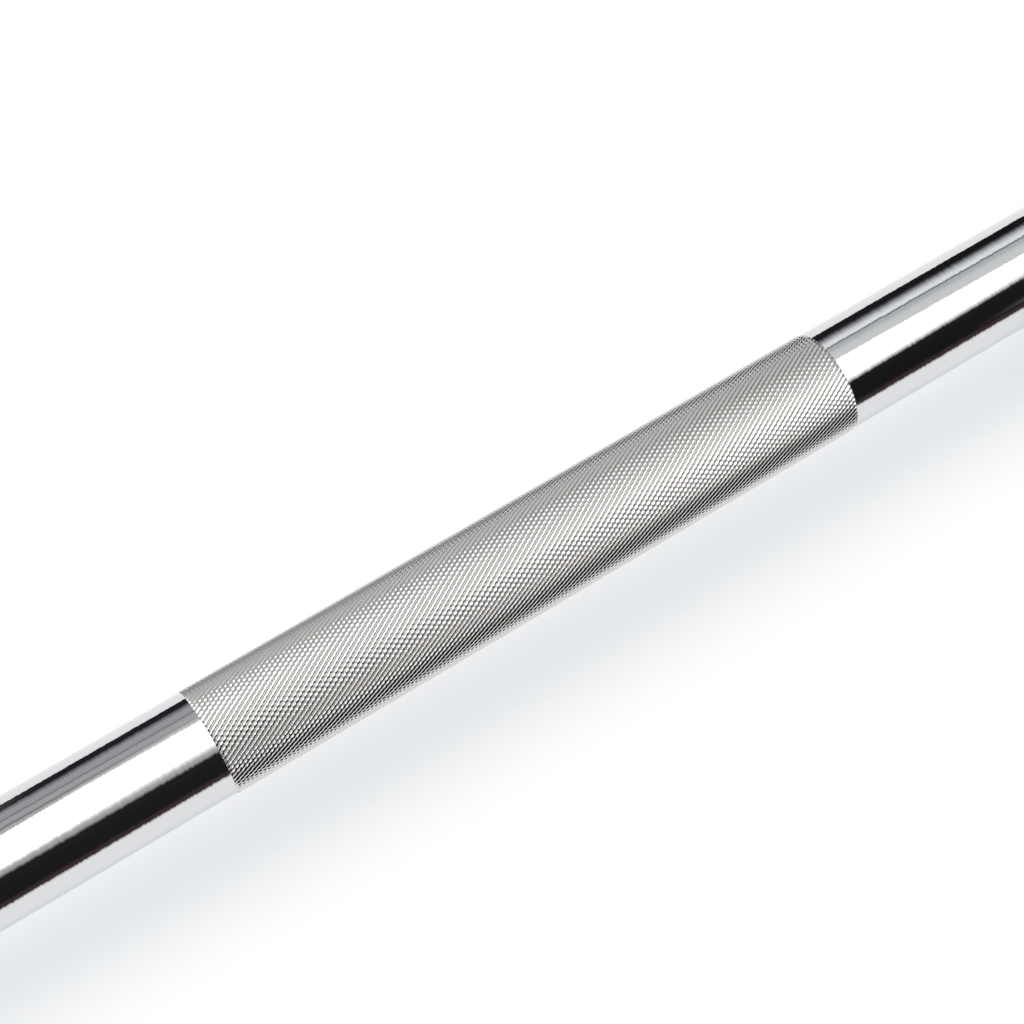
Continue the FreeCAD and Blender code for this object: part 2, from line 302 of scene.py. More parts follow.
def add_node(tree, kind, inputs=None, **settings):
    """Adds one shader node with its settings; each input takes a constant, or a socket to link from."""
    node = tree.nodes.new("ShaderNode" + kind)
    for name, value in settings.items():
        setattr(node, name, value)
    for name, value in (inputs or {}).items():
        if isinstance(value, bpy.types.NodeSocket):
            tree.links.new(value, node.inputs[name])
        else:
            node.inputs[name].default_value = value
    return node


def new_material(name):
    """An empty material: its tree, its output, and its Object coordinates."""
    material = bpy.data.materials.new(name)
    material.use_nodes = True
    tree = material.node_tree
    tree.nodes.clear()
    output = add_node(tree, "OutputMaterial")
    place_on_piece = add_node(tree, "TexCoord").outputs["Object"]
    return material, tree, output, place_on_piece


def tones_along(tree, value, tones, low, high):
    """Tones of what mirrors show, each at its own place along a length or an angle from low to high."""
    share = add_node(tree, "MapRange", {"Value": value, "From Min": low, "From Max": high})
    blend = add_node(tree, "ValToRGB", {"Fac": share.outputs["Result"]})
    stops = blend.color_ramp.elements
    stops.remove(stops[-1])
    for index, (place_along, colour) in enumerate(tones):
        position = (place_along - low) / (high - low)
        stop = stops[0] if index == 0 else stops.new(position)
        stop.position = position
        stop.color = linear(colour)
    return blend.outputs["Color"]


def turned_metal(name, colour, roughness, lay_mm, lay_depth, stain=None, scuff=0.0, fray=0.0):
    """Bare or plated metal with the rings that turning and grinding leave round the bar's axis.

    The rings are drawn coarser than real ones, so that they show. Stain is a second colour in soft blotches,
    scuff roughens fine lines that run along the bar, and fray tips each grinding ring a little round the bar,
    so that the edges of reflections look combed."""
    material, tree, output, coords = new_material(name)
    axes = add_node(tree, "SeparateXYZ", {"Vector": coords})
    off_axis = add_node(tree, "CombineXYZ", {"Y": axes.outputs["Y"], "Z": axes.outputs["Z"]})
    radius = add_node(tree, "VectorMath", {0: off_axis.outputs["Vector"]}, operation="LENGTH")
    section = add_node(tree, "CombineXYZ", {"X": axes.outputs["X"], "Y": radius.outputs["Value"]})
    lay = add_node(tree, "TexNoise", {
        "Vector": section.outputs["Vector"], "Scale": 1 / (lay_mm * MM), "Detail": 3.0,
    })
    haze = add_node(tree, "TexNoise", {"Vector": coords, "Scale": 1 / HAZE_SIZE, "Detail": 4.0})
    rough = add_node(tree, "MapRange", {
        "Value": haze.outputs["Fac"], "From Min": 0.3, "From Max": 0.7,
        "To Min": roughness * 0.75, "To Max": roughness * 1.25,
    })
    finish = rough.outputs["Result"]
    if scuff:
        hairline = (1 / SCUFF_LENGTH, 1 / SCUFF_WIDTH, 1 / SCUFF_WIDTH)
        drawn = add_node(tree, "Mapping", {"Vector": coords, "Scale": hairline})
        lines = add_node(tree, "TexNoise", {"Vector": drawn.outputs["Vector"], "Scale": 1.0, "Detail": 2.0})
        worn = add_node(tree, "MapRange", {
            "Value": lines.outputs["Fac"], "From Min": 0.6, "From Max": 0.75, "To Max": scuff,
        })
        scuffed = add_node(tree, "Math", {0: finish, 1: worn.outputs["Result"]}, operation="ADD")
        finish = scuffed.outputs["Value"]
    bump = add_node(tree, "Bump", {"Height": lay.outputs["Fac"], "Distance": lay_depth, "Strength": 1.0})
    if fray:
        grind = (1 / GRIND_WIDTH, 1 / GRIND_ARC, 1 / GRIND_ARC)
        rings = add_node(tree, "Mapping", {"Vector": coords, "Scale": grind})
        comb = add_node(tree, "TexNoise", {"Vector": rings.outputs["Vector"], "Scale": 1.0, "Detail": 2.0})
        tip = add_node(tree, "MapRange", {"Value": comb.outputs["Fac"], "To Min": -fray, "To Max": fray})
        normal = add_node(tree, "NewGeometry").outputs["Normal"]
        round_bar = add_node(tree, "VectorMath", {0: X_AXIS, 1: normal}, operation="CROSS_PRODUCT")
        tipping = add_node(tree, "VectorMath", {
            0: round_bar.outputs["Vector"], "Scale": tip.outputs["Result"],
        }, operation="SCALE")
        tipped = add_node(tree, "VectorMath", {0: normal, 1: tipping.outputs["Vector"]}, operation="ADD")
        tree.links.new(tipped.outputs["Vector"], bump.inputs["Normal"])
    shader = add_node(tree, "BsdfPrincipled", {
        "Base Color": linear(colour), "Metallic": 1.0, "Roughness": finish, "Normal": bump.outputs["Normal"],
    })
    if stain:
        blotch = add_node(tree, "TexNoise", {"Vector": coords, "Scale": 1 / STAIN_SIZE, "Detail": 5.0})
        tint = add_node(tree, "Mix", {
            "Factor": blotch.outputs["Fac"], "A": linear(colour), "B": linear(stain),
        }, data_type="RGBA")
        tree.links.new(tint.outputs["Result"], shader.inputs["Base Color"])
    tree.links.new(shader.outputs["BSDF"], output.inputs["Surface"])
    return material


def matt_skin(name, colour, worn_colour, roughness, grain_mm, grain_depth):
    """Matt skin that isn't metal to the eye: a fine grain, paler where it has been rubbed."""
    material, tree, output, coords = new_material(name)
    grain = add_node(tree, "TexNoise", {"Vector": coords, "Scale": 1 / (grain_mm * MM), "Detail": 6.0})
    patches = add_node(tree, "TexNoise", {"Vector": coords, "Scale": 1 / RUB_SIZE, "Detail": 3.0})
    rubbed = add_node(tree, "MapRange", {"Value": patches.outputs["Fac"], "From Min": 0.45, "From Max": 0.75})
    tint = add_node(tree, "Mix", {
        "Factor": rubbed.outputs["Result"], "A": linear(colour), "B": linear(worn_colour),
    }, data_type="RGBA")
    rough = add_node(tree, "MapRange", {
        "Value": grain.outputs["Fac"], "To Min": roughness - 0.1, "To Max": roughness + 0.1,
    })
    bump = add_node(tree, "Bump", {"Height": grain.outputs["Fac"], "Distance": grain_depth, "Strength": 0.6})
    shader = add_node(tree, "BsdfPrincipled", {
        "Base Color": tint.outputs["Result"], "Roughness": rough.outputs["Result"],
        "Normal": bump.outputs["Normal"],
    })
    tree.links.new(shader.outputs["BSDF"], output.inputs["Surface"])
    return material


# Hard chrome on a ground bar: a clear mirror, its reflections a little frayed across the grinding rings
shaft_chrome = turned_metal(
    "hard_chrome_on_ground_bar", "#DCDDDF", roughness=0.05, lay_mm=0.5, lay_depth=0.0004 * MM, fray=0.03,
)
# Hard chrome on knurled teeth: bright crests and dark grooves, each a little blurred by the plating
grip_chrome = turned_metal(
    "hard_chrome_on_knurl", "#DCDAD8", roughness=0.12, lay_mm=0.5, lay_depth=0.0004 * MM,
)
# Hard chrome on the sleeve: a mirror with hairlines along it, where plates have slid
sleeve_chrome = turned_metal(
    "hard_chrome_on_sleeve", "#E6E8EA", roughness=0.06, lay_mm=0.4, lay_depth=0.0004 * MM, scuff=0.12,
)
# Hard chrome on the turned collar: a mirror with the rings of the lathe still in it
collar_chrome = turned_metal(
    "hard_chrome_on_turned_collar", "#E4E6E8", roughness=0.08, lay_mm=0.35, lay_depth=0.0004 * MM,
)
# Satin chrome on the end cap: a soft sheen that fans out from the middle
cap_chrome = turned_metal(
    "satin_chrome_on_turned_cap", "#DADCDE", roughness=0.22, lay_mm=0.3, lay_depth=0.004 * MM,
)
# Ground steel of the thrust washers: grey and smooth, with fine rings
washer_steel = turned_metal(
    "ground_steel", "#B6B9BD", roughness=0.26, lay_mm=0.25, lay_depth=0.002 * MM,
)
# Drawn and hardened steel of the bearing cup: grey with a faint straw tint from the furnace
cup_steel = turned_metal(
    "drawn_bearing_steel", "#AEB1B5", roughness=0.28, lay_mm=0.6, lay_depth=0.001 * MM, stain="#B4AA98",
)
# Pressed steel strip of the cage: dull grey, dappled by the blanking oil
cage_steel = turned_metal(
    "pressed_steel_strip", "#9A9DA1", roughness=0.38, lay_mm=0.8, lay_depth=0.002 * MM, stain="#86888C",
)
# Lapped bearing steel of the needles: near a mirror
needle_steel = turned_metal(
    "lapped_bearing_steel", "#C9CCD0", roughness=0.12, lay_mm=0.3, lay_depth=0.0004 * MM,
)
# Turned bearing bronze: warm and soft, darker where the oil has soaked in
bushing_bronze = turned_metal(
    "oiled_bearing_bronze", "#C08F55", roughness=0.34, lay_mm=0.5, lay_depth=0.003 * MM, stain="#8E6336",
)
# Moulded nitrile rubber of the dust seal: nearly black and matt, greyed where it has rubbed
seal_rubber = matt_skin(
    "moulded_nitrile_rubber", "#161618", "#2A2A2C", roughness=0.72, grain_mm=0.4, grain_depth=0.01 * MM,
)
# Phosphated spring steel of the retaining rings: dry, dark grey and finely crystalline
spring_steel = matt_skin(
    "phosphated_spring_steel", "#262628", "#3C3C40", roughness=0.55, grain_mm=0.15, grain_depth=0.006 * MM,
)


def heading_between(start, end):
    """Angle of the run between two corners, on the camber's plane."""
    return math.atan2(end[1] - start[1], end[0] - start[0])


# Camber: each bend's turn and reach, and the tilt at which the valleys touch the floor
collar_low, collar_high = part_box("right_collar")
corners = [
    (-CENTRE_CORNER[0], CENTRE_CORNER[1]), CENTRE_CORNER, VALLEY_CORNER, OUTER_CORNER, (ARM_GRIP_X, 0.0),
]
headings = [heading_between(start, end) for start, end in zip(corners, corners[1:])]
turns = [after - before for before, after in zip(headings, headings[1:])]
reaches = [BEND_R * math.tan(abs(angle) / 2) for angle in turns]
valley_bend_rise = BEND_R / math.cos(turns[1] / 2)
valley_lean = (headings[1] + headings[2]) / 2
valley_depth = BEND_R - (VALLEY_CORNER[1] + valley_bend_rise * math.cos(valley_lean))
tilt = math.asin((collar_high.z - BAR_R) / valley_depth)
HEIGHT_AXIS = Vector((0, math.cos(tilt), math.sin(tilt)))
CAMBER_NORMAL = X_AXIS.cross(HEIGHT_AXIS)


def camber_direction(heading):
    """Direction of a run of the camber."""
    return X_AXIS * math.cos(heading) + HEIGHT_AXIS * math.sin(heading)


class BarEnd:
    """The open end of the bar as it is drawn out: its place, heading and radius."""

    def __init__(self, centre, radius):
        self.centre = centre
        self.heading = 0.0
        self.radius = radius
        quarter_turn = (0, math.pi / 2, 0)
        open_primitive(bpy.ops.mesh.primitive_circle_add, vertices=SIDES, radius=radius,
                       location=centre, rotation=quarter_turn)

    def draw(self, length, radius=None):
        """Extrudes the end straight on, to a new radius if one is given."""
        step = camber_direction(self.heading) * length
        bpy.ops.mesh.extrude_region_move(TRANSFORM_OT_translate={"value": step})
        self.centre = self.centre + step
        if radius is not None:
            scale = radius / self.radius
            bpy.ops.transform.resize(value=(scale, scale, scale), center_override=self.centre)
            self.radius = radius

    def bend(self, turn_angle):
        """Spins the end round a bend in the camber's plane, upwards for a positive angle."""
        side = camber_direction(self.heading + math.copysign(math.pi / 2, turn_angle))
        bend_centre = self.centre + side * BEND_R
        bpy.ops.mesh.spin(steps=BEND_STEPS, angle=-turn_angle, center=bend_centre, axis=CAMBER_NORMAL)
        self.heading += turn_angle
        outwards = camber_direction(self.heading - math.copysign(math.pi / 2, turn_angle))
        self.centre = bend_centre + outwards * BEND_R

    def draw_grip_neck(self, length):
        """Neck under a knurled band: a step down, the neck, and a step up to the bar again."""
        self.draw(0.0, NECK_R)
        self.draw(length)
        self.draw(0.0, BAR_R)


# Shaft: the right half is drawn from the middle outwards, then mirrored
shoulder_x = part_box("right_inner_thrust_washer")[0].x
ring_low, ring_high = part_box("right_shaft_retaining_ring")
shaft_end_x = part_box("bar_shaft")[1].x
slope_runs = [
    math.dist(corners[i], corners[i + 1]) - reaches[i - 1] - reaches[i] for i in (1, 2)
]
slope_grips = []
bar_end = BarEnd(HEIGHT_AXIS * CENTRE_CORNER[1], BAR_R)
bar_end.draw(CENTRE_CORNER[0] - reaches[0])
for bend_turn, run in zip(turns, slope_runs):
    bar_end.bend(bend_turn)
    bar_end.draw(SLOPE_GRIP_MARGIN)
    grip_length = run - 2 * SLOPE_GRIP_MARGIN
    slope_grips.append((bar_end.centre, camber_direction(bar_end.heading), grip_length))
    bar_end.draw_grip_neck(grip_length)
    bar_end.draw(SLOPE_GRIP_MARGIN)
bar_end.bend(turns[2])
bar_end.draw(ARM_GRIP_X - bar_end.centre.x)
bar_end.draw_grip_neck(ARM_GRIP_LENGTH)
bar_end.draw(shoulder_x - SHOULDER_CHAMFER - bar_end.centre.x)
bar_end.draw(SHOULDER_CHAMFER, BAR_R - SHOULDER_CHAMFER)
bar_end.draw(0.0, JOURNAL_R)
bar_end.draw(ring_low.x - GROOVE_PLAY - bar_end.centre.x)
bar_end.draw(0.0, JOURNAL_R - GROOVE_DEPTH)
bar_end.draw(ring_high.x - ring_low.x + GROOVE_PLAY)
bar_end.draw(0.0, JOURNAL_R)
bar_end.draw(shaft_end_x - JOURNAL_CHAMFER - bar_end.centre.x)
bar_end.draw(JOURNAL_CHAMFER, JOURNAL_R - JOURNAL_CHAMFER)
bpy.ops.mesh.edge_face_add()
bpy.ops.object.mode_set(mode="OBJECT")
shaft = bpy.context.object
bpy.ops.object.modifier_add(type="MIRROR")
bpy.ops.object.modifier_apply(modifier=shaft.modifiers[-1].name)
bpy.ops.object.mode_set(mode="EDIT")
weld()
close_piece()
dress(shaft, "shaft_bar", "shaft", shaft_chrome)
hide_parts("bar_shaft")


def grip_band(length):
    """Knurled band along X from the origin: one rolled tooth spun round the bar, then repeated along it.

    The tooth is a diamond of three by three faces: two of its sides lie in the deep grooves of one roller,
    two in the shallow grooves of the other, and its corners in the pits where they cross."""
    rows = round(length / TOOTH_PITCH)
    pitch = length / rows
    half_angle = math.pi / TEETH_ROUND
    half_width = TOOTH_ROOT_R * math.sin(half_angle)
    tooth_middle = (0, 0, TOOTH_ROOT_R)
    # Share of the way from the crest's middle to a groove that lies between the crest's edge and the groove
    mid_flank = 0.6
    # Whether a vertex is in a shallow or a deep groove, and the share of the tooth's height it then has
    heights = ((False, False, 1.0), (True, False, DEEP_GROOVE), (False, True, 1 - DEEP_GROOVE))

    def off_crest(co):
        """Shares of the way from the crest's middle to the shallow and to the deep grooves."""
        way, round_bar = 2 * co.x / pitch, co.y / half_width
        return abs(way + round_bar), abs(way - round_bar)

    open_primitive(bpy.ops.mesh.primitive_grid_add, x_subdivisions=3, y_subdivisions=3, size=math.sqrt(2),
                   location=tooth_middle, rotation=(0, 0, math.pi / 4))
    bpy.ops.transform.resize(value=(pitch / 2, half_width, 1), center_override=tooth_middle)
    for third in range(1, 4):
        offset = half_width * third / 3
        select_where(lambda co: abs(abs(co.y) - offset) < SAME_PLACE)
        sink = math.sqrt(TOOTH_ROOT_R ** 2 - offset ** 2) - TOOTH_ROOT_R
        bpy.ops.transform.translate(value=(0, 0, sink))
    select_where(lambda co: max(off_crest(co)) < mid_flank)
    bpy.ops.transform.resize(value=(CREST_SPREAD, CREST_SPREAD, 1), center_override=tooth_middle)
    for in_shallow, in_deep, share in heights:
        select_where(lambda co: [way > mid_flank for way in off_crest(co)] == [in_shallow, in_deep])
        rise = 1 + TOOTH_HEIGHT * share / TOOTH_ROOT_R
        bpy.ops.transform.resize(value=(1, rise, rise), center_override=ORIGIN)
    bpy.ops.mesh.select_all(action="SELECT")
    spread = math.tau * (TEETH_ROUND - 1) / TEETH_ROUND
    bpy.ops.mesh.spin(steps=TEETH_ROUND - 1, dupli=True, angle=spread, center=ORIGIN, axis=X_AXIS)
    bpy.ops.mesh.select_all(action="SELECT")
    bpy.ops.mesh.duplicate_move(TRANSFORM_OT_translate={"value": (pitch / 2, 0, 0)})
    bpy.ops.transform.rotate(value=half_angle, orient_axis="X", center_override=ORIGIN)
    bpy.ops.object.mode_set(mode="OBJECT")
    bpy.ops.object.modifier_add(type="ARRAY")
    rows_along = bpy.context.object.modifiers[-1]
    rows_along.count = rows + 1
    rows_along.use_relative_offset = False
    rows_along.use_constant_offset = True
    rows_along.constant_offset_displace = (pitch, 0, 0)
    bpy.ops.object.modifier_apply(modifier=rows_along.name)
    bpy.ops.object.mode_set(mode="EDIT")
    for end_x, outwards in ((0.0, -X_AXIS), (length, X_AXIS)):
        bpy.ops.mesh.select_all(action="SELECT")
        bpy.ops.mesh.bisect(plane_co=(end_x, 0, 0), plane_no=outwards, clear_outer=True)
        select_where(lambda co: abs(co.x - end_x) < SAME_PLACE)
        to_bar = BAR_R / CREST_R
        bpy.ops.transform.resize(value=(1, to_bar, to_bar), center_override=(end_x, 0, 0))
    weld()
    bpy.ops.object.mode_set(mode="OBJECT")
    bpy.ops.object.shade_smooth_by_angle(angle=CREST_SMOOTH_ANGLE)
    return bpy.context.object


# Knurled bands: one on each arm, and one on each slope of the camber
right_arm_grip = place(grip_band(ARM_GRIP_LENGTH), X_AXIS * ARM_GRIP_X, X_AXIS)
left_arm_grip = other_end(right_arm_grip)
grips = {"right_arm_grip": right_arm_grip, "left_arm_grip": left_arm_grip}
for slope, (start, direction, length) in zip(("inner", "outer"), slope_grips):
    right_grip = grip_band(length)
    left_grip = copy_of(right_grip)
    mirrored_start = Vector((-start.x, start.y, start.z))
    mirrored_direction = Vector((-direction.x, direction.y, direction.z))
    place(left_grip, mirrored_start, mirrored_direction)
    bpy.ops.object.select_all(action="DESELECT")
    right_grip.select_set(True)
    bpy.context.view_layer.objects.active = right_grip
    grips[f"right_{slope}_grip"] = place(right_grip, start, direction)
    grips[f"left_{slope}_grip"] = left_grip
for name, grip in grips.items():
    dress(grip, name, "shaft", grip_chrome)


# End pieces of the right end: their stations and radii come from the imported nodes
sleeve_low, sleeve_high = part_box("right_sleeve")
collar_ring_low, collar_ring_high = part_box("right_collar_retaining_ring")
seal_low, seal_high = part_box("right_dust_seal")
bushing_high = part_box("right_bushing")[1]
cup_low, cup_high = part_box("right_bearing_cup")
cap_low, cap_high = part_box("right_end_cap")
cap_ring_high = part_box("right_cap_retaining_ring")[1]


def sleeve_tube():
    """Plate sleeve: the seat and groove for the collar outside, and stepped seats for its pieces inside."""
    seat_r = sleeve_high.z - COLLAR_SEAT_STEP
    groove_r = seat_r - COLLAR_GROOVE_DEPTH
    cone_x = collar_high.x - COLLAR_CONE_LENGTH
    turn([
        (sleeve_low.x, seal_high.z + MOUTH_CHAMFER),
        (sleeve_low.x, seat_r),
        (collar_ring_low.x - GROOVE_PLAY, seat_r),
        (collar_ring_low.x - GROOVE_PLAY, groove_r),
        (collar_ring_high.x, groove_r),
        (collar_ring_high.x, seat_r),
        (cone_x, seat_r),
        (collar_high.x, sleeve_high.z),
        (sleeve_high.x - SLEEVE_CHAMFER, sleeve_high.z),
        (sleeve_high.x, sleeve_high.z - SLEEVE_CHAMFER),
        (sleeve_high.x, cap_high.z + MOUTH_CHAMFER),
        (sleeve_high.x - MOUTH_CHAMFER, cap_high.z),
        (cap_ring_high.x + GROOVE_PLAY / 2, cap_high.z),
        (cap_ring_high.x + GROOVE_PLAY / 2, cap_high.z + CAP_GROOVE_DEPTH),
        (cap_high.x, cap_high.z + CAP_GROOVE_DEPTH),
        (cap_high.x, cap_high.z),
        (cap_low.x, cap_high.z),
        (cap_low.x, cup_high.z),
        (cup_low.x, cup_high.z),
        (cup_low.x, SLEEVE_BORE_R),
        (bushing_high.x, SLEEVE_BORE_R),
        (bushing_high.x, bushing_high.z),
        (seal_high.x, bushing_high.z),
        (seal_high.x, seal_high.z),
        (sleeve_low.x + MOUTH_CHAMFER, seal_high.z),
    ])
    return close_piece(EDGE_BREAK / 2)


def collar_flange():
    """Collar: a hub recessed for its retaining ring, a rounded neck, and the flange that stops the plates."""
    seat_r = sleeve_high.z - COLLAR_SEAT_STEP
    cone_x = collar_high.x - COLLAR_CONE_LENGTH
    flange_x = collar_high.x - FLANGE_WIDTH
    turn([
        (collar_low.x, COLLAR_RECESS_R),
        (collar_low.x, COLLAR_HUB_R - COLLAR_CHAMFER),
        (collar_low.x + COLLAR_CHAMFER, COLLAR_HUB_R),
        (flange_x, COLLAR_HUB_R),
        (flange_x, collar_high.z - COLLAR_CHAMFER),
        (flange_x + COLLAR_CHAMFER, collar_high.z),
        (collar_high.x - COLLAR_CHAMFER, collar_high.z),
        (collar_high.x, collar_high.z - COLLAR_CHAMFER),
        (collar_high.x, sleeve_high.z),
        (cone_x, seat_r),
        (collar_ring_high.x, seat_r),
        (collar_ring_high.x, COLLAR_RECESS_R),
    ])
    select_where(lambda co: abs(co.x - flange_x) < SAME_PLACE and co.yz.length < COLLAR_HUB_R + SAME_PLACE)
    bpy.ops.mesh.bevel(offset=COLLAR_NECK_R, segments=NECK_STEPS, affect="EDGES")
    return close_piece(EDGE_BREAK)


def seal_lip():
    """Dust seal: a rubber ring whose lip leans out towards the grip and wipes the bar."""
    web_r = seal_high.z - SEAL_WALL
    lip_root = seal_high.x - SEAL_WALL
    lip_r = BAR_R + SEAL_GAP
    turn([
        (seal_low.x, web_r),
        (seal_low.x, seal_high.z),
        (seal_high.x, seal_high.z),
        (seal_high.x, web_r),
        (lip_root + SEAL_LIP_WIDTH, web_r),
        (seal_low.x + SEAL_LIP_WIDTH, lip_r),
        (seal_low.x, lip_r),
        (lip_root, web_r),
    ])
    return close_piece(RUBBER_EDGE_BREAK)


def cap_disc():
    """End cap: a disc with a shallow dish in its outer face."""
    dish_r = cap_high.z - CAP_RIM
    dish_x = cap_high.x - CAP_DISH_DEPTH
    turn([
        (cap_low.x, 0.0),
        (cap_low.x, cap_high.z - CAP_CHAMFER),
        (cap_low.x + CAP_CHAMFER, cap_high.z),
        (cap_high.x, cap_high.z),
        (cap_high.x, dish_r),
        (dish_x, dish_r - CAP_DISH_DEPTH),
        (dish_x, 0.0),
    ], closed=False)
    return close_piece(EDGE_BREAK)


END_PIECES = (
    ("sleeve_tube", sleeve_tube(), "sleeve", "sleeve_chrome", sleeve_chrome),
    ("collar_flange", collar_flange(), "collar", "collar_chrome", collar_chrome),
    ("seal_lip", seal_lip(), "dust_seal", "seal_rubber", seal_rubber),
    ("cap_disc", cap_disc(), "end_cap", "cap_chrome", cap_chrome),
)
for name, right_piece, node, slot, material in END_PIECES:
    for end, piece in (("left", other_end(right_piece)), ("right", right_piece)):
        dress(piece, f"{end}_{name}", f"{end}_sleeve", material)
        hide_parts(f"{end}_{node}")

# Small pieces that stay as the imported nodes, each with its own metal
NODE_METALS = {
    "collar_retaining_ring": spring_steel,
    "inner_thrust_washer": washer_steel,
    "bushing": bushing_bronze,
    "bearing_cup": cup_steel,
    "bearing_cage": cage_steel,
    "bearing_needles": needle_steel,
    "outer_thrust_washer": washer_steel,
    "shaft_retaining_ring": spring_steel,
    "cap_retaining_ring": spring_steel,
}
for node, metal in NODE_METALS.items():
    for end in ("left", "right"):
        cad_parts[f"{end}_{node}"].material_slots[0].material = metal


# Camera
camera_data = bpy.data.cameras.new("camera")
camera_data.lens = LENS_MM
camera_data.sensor_width = SENSOR_MM
camera_data.clip_start = NEAR_CLIP
camera = bpy.data.objects.new("camera", camera_data)
camera.location = CAMERA_PLACE
camera.rotation_euler = (math.pi / 2 - CAMERA_ELEVATION, 0, CAMERA_AZIMUTH)
bpy.context.scene.collection.objects.link(camera)
bpy.context.scene.camera = camera
bpy.context.scene.view_settings.view_transform = "Standard"

# Studio: a white table under a soft key, a long softbox overhead, and a room that only mirrors show
forwards = Vector((-math.sin(CAMERA_AZIMUTH), math.cos(CAMERA_AZIMUTH), 0))
rightwards = Vector((math.cos(CAMERA_AZIMUTH), math.sin(CAMERA_AZIMUTH), 0))
photo_spot = Vector((ARM_GRIP_X + ARM_GRIP_LENGTH / 2, 0, 0))


def paper_floor():
    """White paper floor: evenly bright to the eye, and to mirrors a table with a dark room beyond it."""
    material, tree, output, coords = new_material("white_paper_floor")
    path = add_node(tree, "LightPath").outputs
    bounce = add_node(tree, "BsdfDiffuse", {"Color": linear(FLOOR_BOUNCE)})
    glow = add_node(tree, "Emission", {"Color": linear(FLOOR_GLOW)})
    paper = add_node(tree, "BsdfDiffuse", {"Color": linear(FLOOR_PAPER)})
    white = add_node(tree, "AddShader", {0: glow.outputs["Emission"], 1: paper.outputs["BSDF"]})
    seen = add_node(tree, "Math", {0: path["Is Camera Ray"], 1: path["Is Glossy Ray"]}, operation="MAXIMUM")
    shown = add_node(tree, "MixShader", {
        0: seen.outputs["Value"], 1: bounce.outputs["BSDF"], 2: white.outputs["Shader"],
    })
    table_middle = (TABLE_BACK + TABLE_FRONT) / 2
    half_table = (TABLE_BACK - TABLE_FRONT) / 2
    place_across = add_node(tree, "SeparateXYZ", {"Vector": coords}).outputs["Y"]
    off_middle = add_node(tree, "Math", {0: place_across, 1: table_middle}, operation="SUBTRACT")
    distance = add_node(tree, "Math", {0: off_middle.outputs["Value"]}, operation="ABSOLUTE").outputs["Value"]
    beyond_edge = add_node(tree, "MapRange", {
        "Value": distance, "From Min": half_table - TABLE_EDGE_BLUR, "From Max": half_table + TABLE_EDGE_BLUR,
    })
    off_table = add_node(tree, "Math", {
        0: beyond_edge.outputs["Result"], 1: path["Is Glossy Ray"],
    }, operation="MULTIPLY")
    into_room = add_node(tree, "MapRange", {
        "Value": distance, "From Min": half_table, "From Max": half_table + ROOM_DEPTH,
    })
    room_tone = add_node(tree, "Mix", {
        "Factor": into_room.outputs["Result"], "A": linear(TABLE_EDGE), "B": linear(DARK_ROOM),
    }, data_type="RGBA")
    dark = add_node(tree, "Emission", {"Color": room_tone.outputs["Result"]})
    surface = add_node(tree, "MixShader", {
        0: off_table.outputs["Value"], 1: shown.outputs["Shader"], 2: dark.outputs["Emission"],
    })
    tree.links.new(surface.outputs["Shader"], output.inputs["Surface"])
    return material


def softbox_cloth():
    """Lit softbox cloth: it fades towards its front and right edges, with a dim strip across its near left
    corner and a dimmer hem at its back."""
    material, tree, output, coords = new_material("softbox_cloth")
    from_spot = add_node(tree, "VectorMath", {0: coords, 1: photo_spot}, operation="SUBTRACT")
    reach = from_spot.outputs["Vector"]
    ahead = add_node(tree, "VectorMath", {0: reach, 1: forwards}, operation="DOT_PRODUCT").outputs["Value"]
    aside = add_node(tree, "VectorMath", {0: reach, 1: rightwards}, operation="DOT_PRODUCT").outputs["Value"]
    left_of_turn = add_node(tree, "MapRange", {
        "Value": aside, "From Min": SOFTBOX_LEFT, "From Max": SOFTBOX_TURN,
        "To Min": SOFTBOX_TURN - SOFTBOX_LEFT, "To Max": 0.0,
    })
    inside_front = add_node(tree, "Math", {0: ahead, 1: left_of_turn.outputs["Result"]}, operation="ADD")
    front_fade = tones_along(
        tree, inside_front.outputs["Value"], SOFTBOX_FRONT_FADE, SOFTBOX_FRONT, SOFTBOX_BACK,
    )
    side_fade = tones_along(tree, aside, SOFTBOX_SIDE_FADE, SOFTBOX_LEFT, SOFTBOX_RIGHT)
    to_corner = add_node(tree, "Math", {0: ahead, 1: aside}, operation="ADD")
    corner_fade = tones_along(
        tree, to_corner.outputs["Value"], SOFTBOX_CORNER_FADE, SOFTBOX_FRONT + SOFTBOX_LEFT,
        SOFTBOX_BACK + SOFTBOX_RIGHT,
    )
    edges = add_node(tree, "Math", {0: front_fade, 1: side_fade}, operation="MINIMUM")
    faded = add_node(tree, "Math", {0: edges.outputs["Value"], 1: corner_fade}, operation="MINIMUM")
    hem = add_node(tree, "MapRange", {
        "Value": ahead, "From Min": SOFTBOX_BACK - SOFTBOX_HEM, "From Max": SOFTBOX_BACK,
        "To Min": SOFTBOX_GLOW, "To Max": SOFTBOX_HEM_GLOW,
    })
    strength = add_node(tree, "Math", {
        0: faded.outputs["Value"], 1: hem.outputs["Result"],
    }, operation="MULTIPLY")
    cloth = add_node(tree, "Emission", {"Strength": strength.outputs["Value"]})
    tree.links.new(cloth.outputs["Emission"], output.inputs["Surface"])
    return material


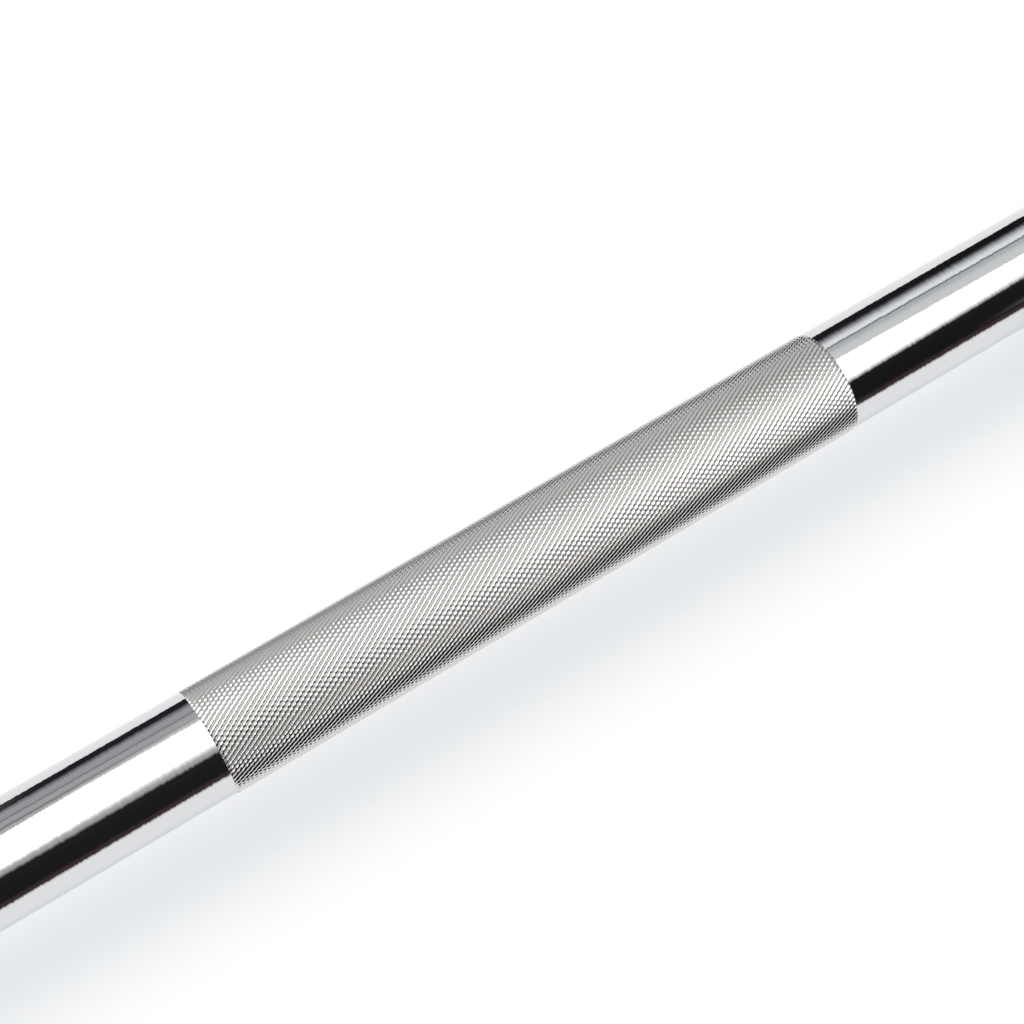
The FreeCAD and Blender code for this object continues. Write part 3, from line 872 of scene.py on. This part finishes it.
def mirrored_room(tree):
    """Tone of the room in the direction of a look: two walls that meet in a corner, and light side walls."""
    look = add_node(tree, "TexCoord").outputs["Generated"]
    ahead = add_node(tree, "VectorMath", {0: look, 1: forwards}, operation="DOT_PRODUCT").outputs["Value"]
    aside = add_node(tree, "VectorMath", {0: look, 1: rightwards}, operation="DOT_PRODUCT").outputs["Value"]
    up = add_node(tree, "SeparateXYZ", {"Vector": look}).outputs["Z"]
    lean = add_node(tree, "Math", {0: ahead, 1: up}, operation="ARCTAN2").outputs["Value"]
    degrees = add_node(tree, "Math", {0: lean}, operation="DEGREES").outputs["Value"]
    corner_start, corner_end = WALL_CORNER
    corner = add_node(tree, "MapRange", {"Value": aside, "From Min": corner_start, "From Max": corner_end})
    walls = add_node(tree, "Mix", {
        "Factor": corner.outputs["Result"], "A": tones_along(tree, degrees, LEFT_WALL, -180, 180),
        "B": tones_along(tree, degrees, RIGHT_WALL, -180, 180),
    }, data_type="RGBA")
    shaded = add_node(tree, "Mix", {
        "Factor": 1.0, "A": walls.outputs["Result"], "B": tones_along(tree, aside, WALL_SHADE, -1, 1),
    }, data_type="RGBA", blend_type="MULTIPLY")
    whole_room = add_node(tree, "Mix", {
        "Factor": tones_along(tree, aside, SIDE_WALL_SHARE, -1, 1), "A": shaded.outputs["Result"],
        "B": linear(SIDE_WALL),
    }, data_type="RGBA")
    return whole_room.outputs["Result"]


def studio_world():
    """World: white to the eye, an even fill to the paper, and the room to mirrors."""
    world = bpy.data.worlds.new("studio")
    world.use_nodes = True
    tree = world.node_tree
    tree.nodes.clear()
    path = add_node(tree, "LightPath").outputs
    mirrored = add_node(tree, "Background", {"Color": mirrored_room(tree)})
    fill = add_node(tree, "Background", {"Color": linear(WHITE), "Strength": FILL_LIGHT})
    clear = add_node(tree, "Background", {"Color": linear(WHITE)})
    lit = add_node(tree, "MixShader", {
        0: path["Is Glossy Ray"], 1: fill.outputs["Background"], 2: mirrored.outputs["Background"],
    })
    sky = add_node(tree, "MixShader", {
        0: path["Is Camera Ray"], 1: lit.outputs["Shader"], 2: clear.outputs["Background"],
    })
    add_node(tree, "OutputWorld", {"Surface": sky.outputs["Shader"]})
    return world


bpy.ops.object.select_all(action="DESELECT")
bpy.ops.mesh.primitive_plane_add(size=FLOOR_SIZE, location=(0, 0, cad_box[0].z))
floor = bpy.context.object
floor.name = "floor"
floor.data.materials.append(paper_floor())

softbox_middle = photo_spot + Vector((0, 0, SOFTBOX_HEIGHT))
softbox_middle += rightwards * (SOFTBOX_RIGHT + SOFTBOX_LEFT) / 2
softbox_middle += forwards * (SOFTBOX_BACK + SOFTBOX_FRONT) / 2
bpy.ops.object.select_all(action="DESELECT")
bpy.ops.mesh.primitive_plane_add(size=1, location=softbox_middle, rotation=(0, 0, CAMERA_AZIMUTH))
softbox = bpy.context.object
softbox.name = "softbox"
softbox.scale = (SOFTBOX_RIGHT - SOFTBOX_LEFT, SOFTBOX_BACK - SOFTBOX_FRONT, 1)
bpy.ops.object.transform_apply(location=True, rotation=True, scale=True)
softbox.data.materials.append(softbox_cloth())
softbox.visible_camera = False
softbox.visible_diffuse = False
softbox.visible_shadow = False

key_data = bpy.data.lights.new("key", "SUN")
key_data.energy = KEY_LIGHT
key_data.color = linear(KEY_COLOUR)[:3]
key_data.angle = KEY_SPREAD
key = bpy.data.objects.new("key", key_data)
key.rotation_euler = (-KEY_TILT, 0, CAMERA_AZIMUTH)
key.visible_glossy = False
bpy.context.scene.collection.objects.link(key)
bpy.context.scene.world = studio_world()
